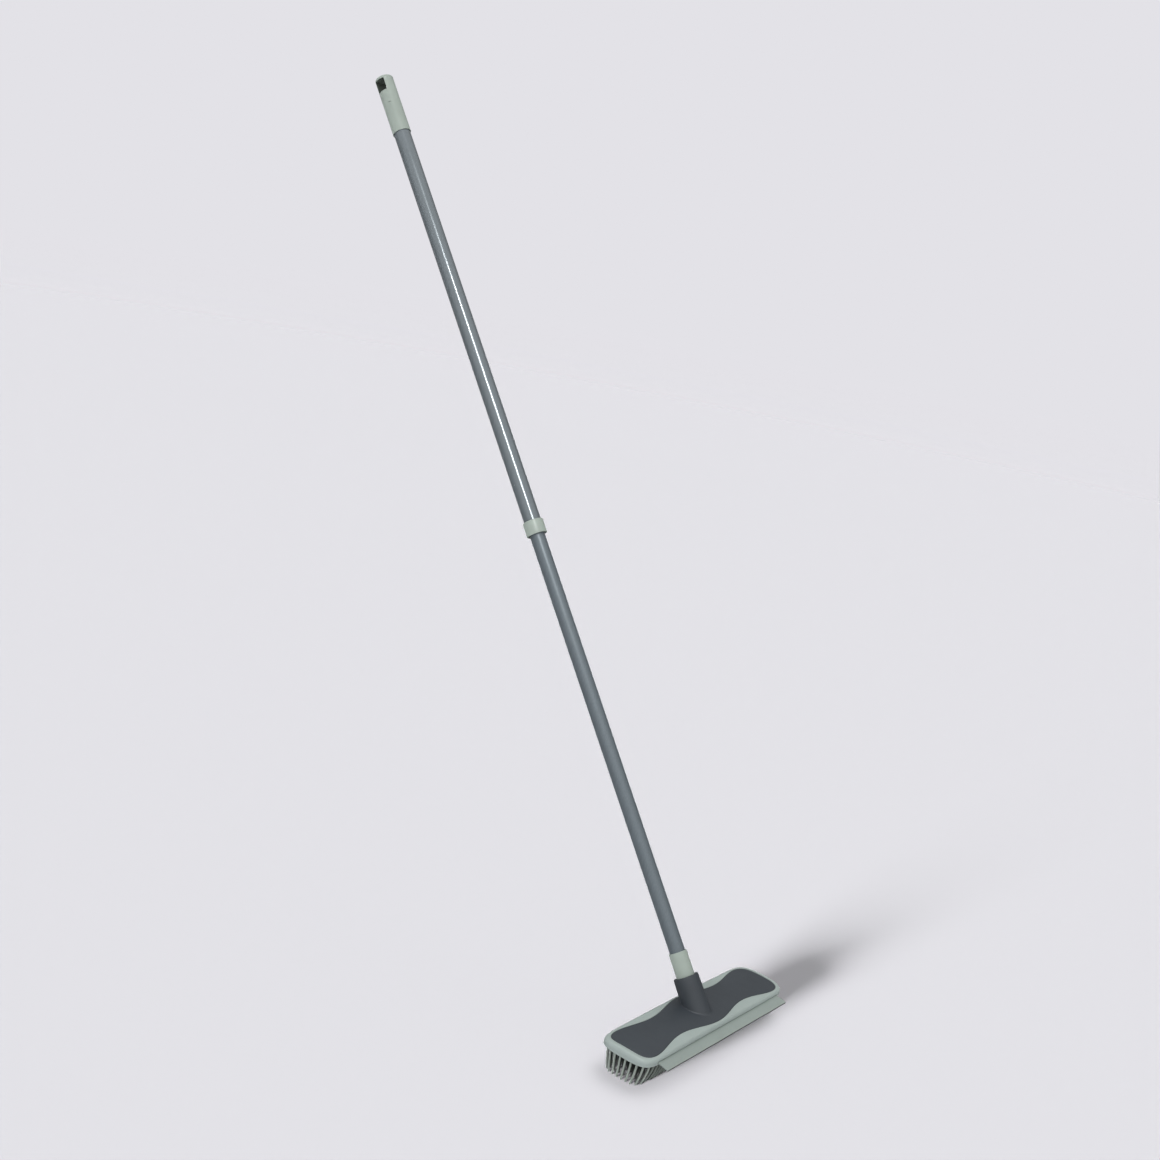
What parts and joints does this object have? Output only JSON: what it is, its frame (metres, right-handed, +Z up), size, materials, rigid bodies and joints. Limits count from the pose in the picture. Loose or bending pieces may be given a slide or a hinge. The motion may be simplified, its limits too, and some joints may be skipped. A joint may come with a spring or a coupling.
{
  "type": "telescopic rubber broom",
  "caption": "Floor sweeping head with rubber fingers and a front squeegee blade, on a leaning two-stage telescopic pole with a twist lock and a hanging cap.",
  "frame": {"origin": "on the floor, under the middle of the head, where the middle rubber finger stands", "axes": "+X along the head, +Y towards the back, where the pole leans, +Z up"},
  "size_m": [0.298, 0.7947, 1.02],
  "materials": {
    "sage_shell": "satin moulded plastic, sage green",
    "dark_cover": "satin moulded plastic, charcoal",
    "sage_rubber": "matte rubber, sage green",
    "sage_blade": "matte rubber, sage green",
    "sage_fittings": "satin moulded plastic, sage green",
    "painted_tube": "glossy grey-blue coating on steel tube",
    "screw_steel": "zinc-plated steel",
    "natural_nylon": "natural nylon",
    "black_rubber": "matte black rubber"
  },
  "bodies": {
    "head": {"head_shell": "sage_shell", "cover_with_socket": "dark_cover", "bristle_pad": "sage_rubber", "squeegee_blade": "sage_blade", "cover_screw_1": "screw_steel", "cover_screw_2": "screw_steel", "cover_screw_3": "screw_steel", "cover_screw_4": "screw_steel", "cover_screw_5": "screw_steel", "cover_screw_6": "screw_steel"},
    "lower_pole": {"handle_adapter": "sage_fittings", "lower_tube": "painted_tube", "lock_plug": "natural_nylon", "lock_rod": "screw_steel", "lock_end_nut": "screw_steel"},
    "lock_sleeve": {"lock_sleeve": "natural_nylon", "lock_friction_ring": "black_rubber"},
    "lock_cone": {"lock_cone": "natural_nylon"},
    "upper_pole": {"collar": "sage_fittings", "upper_tube": "painted_tube", "hanging_cap": "sage_fittings"}
  },
  "joints": [
    {"name": "socket_thread", "type": "hinge", "parent": "head", "child": "lower_pole", "pos_m": [0, 0.01705, 0.05646], "axis": [0, 0.6018, 0.7986], "range_deg": [0, 1080]},
    {"name": "twist_lock", "type": "hinge", "parent": "lower_pole", "child": "lock_sleeve", "pos_m": [0, 0.39921, 0.56359], "axis": [0, 0.6018, 0.7986], "range_deg": [0, 180]},
    {"name": "lock_cone_travel", "type": "slide", "parent": "lock_sleeve", "child": "lock_cone", "axis": [0, 0.6018, 0.7986], "range_m": [0, 0.002]},
    {"name": "telescope", "type": "slide", "parent": "lock_sleeve", "child": "upper_pole", "axis": [0, 0.6018, 0.7986], "range_m": [-0.45, 0]}
  ],
  "couplings": [
    {"joint": "lock_cone_travel", "follows": "twist_lock", "m_per_rad": 0.000477}
  ]
}
